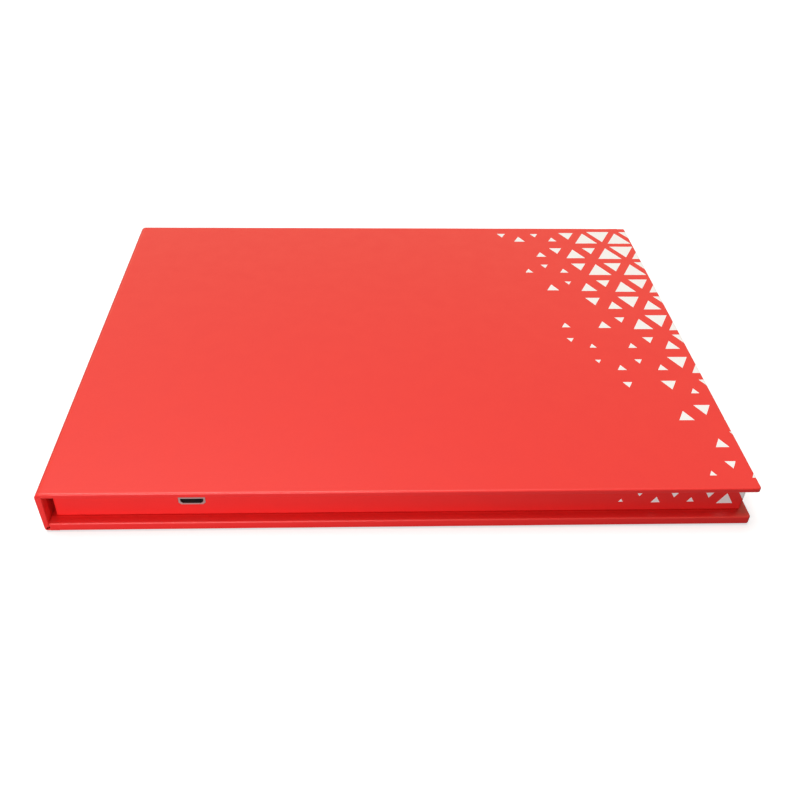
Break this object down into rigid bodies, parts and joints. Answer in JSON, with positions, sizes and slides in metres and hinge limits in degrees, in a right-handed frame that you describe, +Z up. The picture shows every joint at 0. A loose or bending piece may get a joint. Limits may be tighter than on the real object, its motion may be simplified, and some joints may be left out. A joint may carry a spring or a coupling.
{
  "type": "lcd video brochure",
  "caption": "Hardcover brochure with a paper-hinged spine and cover that open on a video screen block with push buttons, a speaker and a micro-USB socket.",
  "frame": {"origin": "centre of the case footprint, on the surface that the closed brochure lies on", "axes": "+X from the spine to the opening edge, +Y from the front edge to the back edge, +Z up through the closed brochure"},
  "size_m": [0.215, 0.155, 0.0157],
  "materials": {
    "case_paper": "matt laminated red printed paper",
    "liner_paper": "red liner paper",
    "greyboard": "grey bookbinding board",
    "face_card": "printed card",
    "base_card": "plain card",
    "foam": "EVA foam",
    "adhesive": "double-sided adhesive",
    "window_film": "clear film",
    "screen_glass": "dark glass",
    "steel_sheet": "thin pressed sheet",
    "light_guide": "milky acrylic",
    "ribbon": "amber polyimide",
    "circuit_board": "green solder mask",
    "chip_black": "moulded black",
    "connector_white": "ivory nylon",
    "ceramic_tan": "fired",
    "ferrite": "sintered",
    "contact_gold": "gold flashed",
    "battery_film": "silver laminated pouch",
    "lead_wire": "insulated wire",
    "cone_paper": "pressed",
    "dust_mesh": "woven",
    "magnet": "nickel plated",
    "button_plastic": "moulded white"
  },
  "bodies": {
    "back_cover": {"audio_amplifier": "chip_black", "back_cover_board": "greyboard", "back_cover_liner": "liner_paper", "back_cover_wrap": "case_paper", "battery_cell": "battery_film", "battery_guard_board": "circuit_board", "battery_leads": "lead_wire", "battery_plug": "connector_white", "battery_socket": "connector_white", "battery_tape": "adhesive", "block_adhesive": "adhesive", "block_base_card": "base_card", "block_face_card": "face_card", "block_frame": "foam", "block_wrap": "case_paper", "board_capacitors": "ceramic_tan", "circuit_board": "circuit_board", "clock_crystal": "steel_sheet", "flash_memory": "chip_black", "flex_connector": "connector_white", "lcd_bezel": "steel_sheet", "lcd_flex": "ribbon", "lcd_light_guide": "light_guide", "lcd_panel": "screen_glass", "lcd_rear_tray": "steel_sheet", "lid_sensor": "chip_black", "media_processor": "chip_black", "power_inductor": "ferrite", "screen_tape": "adhesive", "screen_window": "window_film", "speaker_cone": "cone_paper", "speaker_frame": "chip_black", "speaker_leads": "lead_wire", "speaker_magnet": "magnet", "speaker_mesh": "dust_mesh", "switch_bodies": "chip_black", "usb_contacts": "contact_gold", "usb_shell": "steel_sheet", "usb_tongue": "chip_black"},
    "spine": {"spine_board": "greyboard", "spine_wrap": "case_paper", "spine_liner": "liner_paper"},
    "front_cover": {"front_cover_board": "greyboard", "front_cover_wrap": "case_paper", "front_cover_liner": "liner_paper", "lid_magnet": "magnet"},
    "previous_button": {"button_previous": "button_plastic", "plunger_previous": "button_plastic"},
    "volume_down_button": {"button_volume_down": "button_plastic", "plunger_volume_down": "button_plastic"},
    "play_button": {"button_play": "button_plastic", "plunger_play": "button_plastic"},
    "volume_up_button": {"button_volume_up": "button_plastic", "plunger_volume_up": "button_plastic"},
    "next_button": {"button_next": "button_plastic", "plunger_next": "button_plastic"}
  },
  "joints": [
    {"name": "spine_hinge", "type": "hinge", "parent": "back_cover", "child": "spine", "pos_m": [-0.1075, 0, 0], "axis": [0, -1, 0], "range_deg": [0, 90]},
    {"name": "cover_hinge", "type": "hinge", "parent": "spine", "child": "front_cover", "pos_m": [-0.1075, 0, 0.0157], "axis": [0, -1, 0], "range_deg": [0, 90]},
    {"name": "press_previous", "type": "slide", "parent": "back_cover", "child": "previous_button", "axis": [0, 0, -1], "range_m": [0, 0.00025], "stiffness_N_per_m": 4000, "springref_m": -0.0002},
    {"name": "press_volume_down", "type": "slide", "parent": "back_cover", "child": "volume_down_button", "axis": [0, 0, -1], "range_m": [0, 0.00025], "stiffness_N_per_m": 4000, "springref_m": -0.0002},
    {"name": "press_play", "type": "slide", "parent": "back_cover", "child": "play_button", "axis": [0, 0, -1], "range_m": [0, 0.00025], "stiffness_N_per_m": 4000, "springref_m": -0.0002},
    {"name": "press_volume_up", "type": "slide", "parent": "back_cover", "child": "volume_up_button", "axis": [0, 0, -1], "range_m": [0, 0.00025], "stiffness_N_per_m": 4000, "springref_m": -0.0002},
    {"name": "press_next", "type": "slide", "parent": "back_cover", "child": "next_button", "axis": [0, 0, -1], "range_m": [0, 0.00025], "stiffness_N_per_m": 4000, "springref_m": -0.0002}
  ]
}
